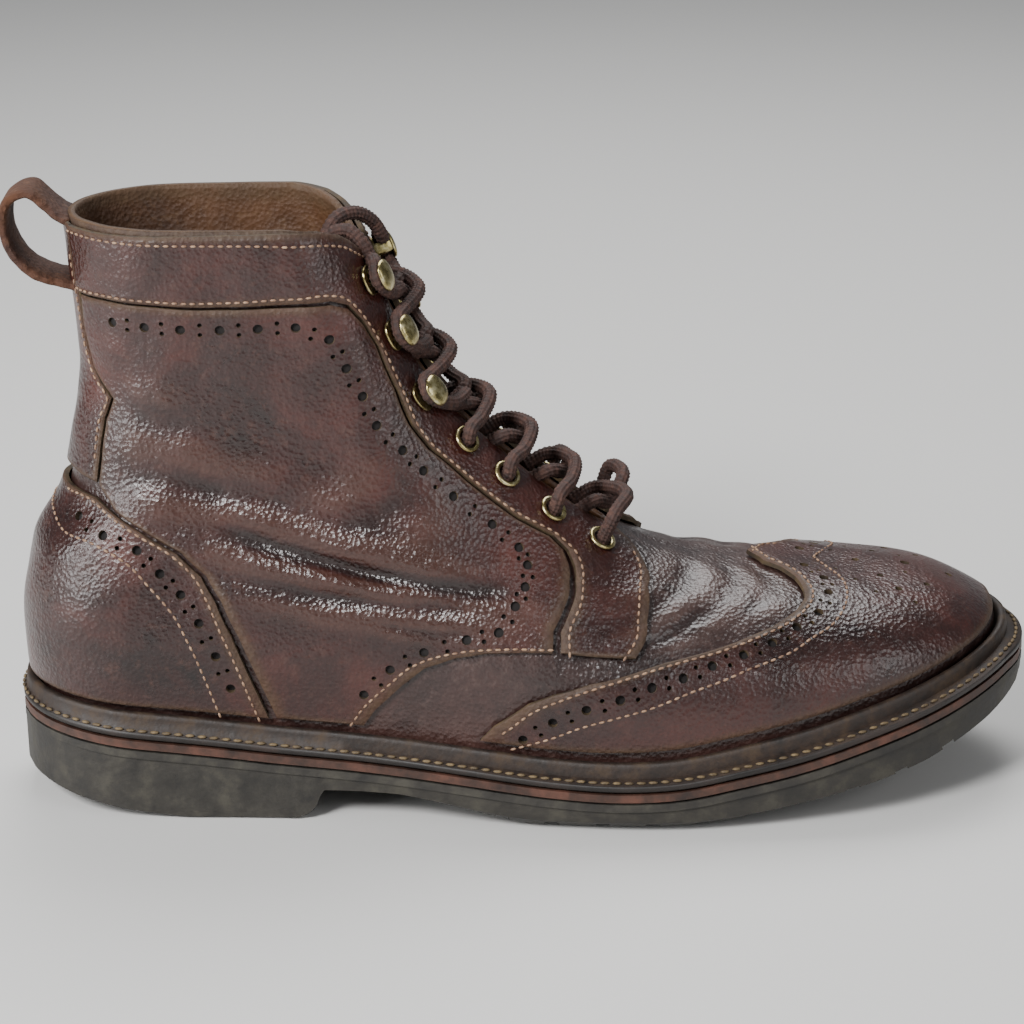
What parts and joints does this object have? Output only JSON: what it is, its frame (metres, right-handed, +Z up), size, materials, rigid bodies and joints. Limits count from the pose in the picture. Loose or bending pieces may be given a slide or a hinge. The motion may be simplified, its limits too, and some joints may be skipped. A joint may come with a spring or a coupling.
{
  "type": "brogue boot",
  "caption": "Laced wing-tip brogue ankle boot for the right foot: hollow leather upper with overlays, storm welt and lugged rubber sole with heel",
  "frame": {"origin": "on the floor, in the middle of the heel's flat tread", "axes": "+X from the heel to the toe, +Y to the inner side of the foot, +Z up"},
  "size_m": [0.3123, 0.1121, 0.1898],
  "materials": {
    "oxblood_leather": "worn, waxed, semi-gloss",
    "vamp_leather": "worn, waxed, semi-gloss",
    "strap_leather": "rough, napped",
    "insole_leather": "matt",
    "welt_leather": "worn, raw",
    "midsole_leather": "raw cut edge",
    "sole_rubber": "matt, dusty",
    "aged_brass": "aged, satin",
    "lace_cord": "round braid"
  },
  "bodies": {
    "root": {"outsole": "sole_rubber", "midsole": "midsole_leather", "welt": "welt_leather", "insole": "insole_leather", "upper": "vamp_leather", "toe_cap": "oxblood_leather", "counter": "oxblood_leather", "backstay": "oxblood_leather", "quarter_lateral": "oxblood_leather", "quarter_medial": "oxblood_leather", "collar_lateral": "oxblood_leather", "collar_medial": "oxblood_leather", "tongue": "oxblood_leather", "pull_loop": "strap_leather", "eyelet_lateral_1": "aged_brass", "eyelet_lateral_2": "aged_brass", "eyelet_lateral_3": "aged_brass", "eyelet_lateral_4": "aged_brass", "eyelet_medial_1": "aged_brass", "eyelet_medial_2": "aged_brass", "eyelet_medial_3": "aged_brass", "eyelet_medial_4": "aged_brass", "hook_lateral_1": "aged_brass", "hook_lateral_2": "aged_brass", "hook_lateral_3": "aged_brass", "hook_medial_1": "aged_brass", "hook_medial_2": "aged_brass", "hook_medial_3": "aged_brass", "lace_lateral_1": "lace_cord", "lace_lateral_2": "lace_cord", "lace_lateral_3": "lace_cord", "lace_lateral_4": "lace_cord", "lace_lateral_5": "lace_cord", "lace_lateral_6": "lace_cord", "lace_lateral_7": "lace_cord", "lace_medial_1": "lace_cord", "lace_medial_2": "lace_cord", "lace_medial_3": "lace_cord", "lace_medial_4": "lace_cord", "lace_medial_5": "lace_cord", "lace_medial_6": "lace_cord", "lace_medial_7": "lace_cord"}
  },
  "joints": []
}
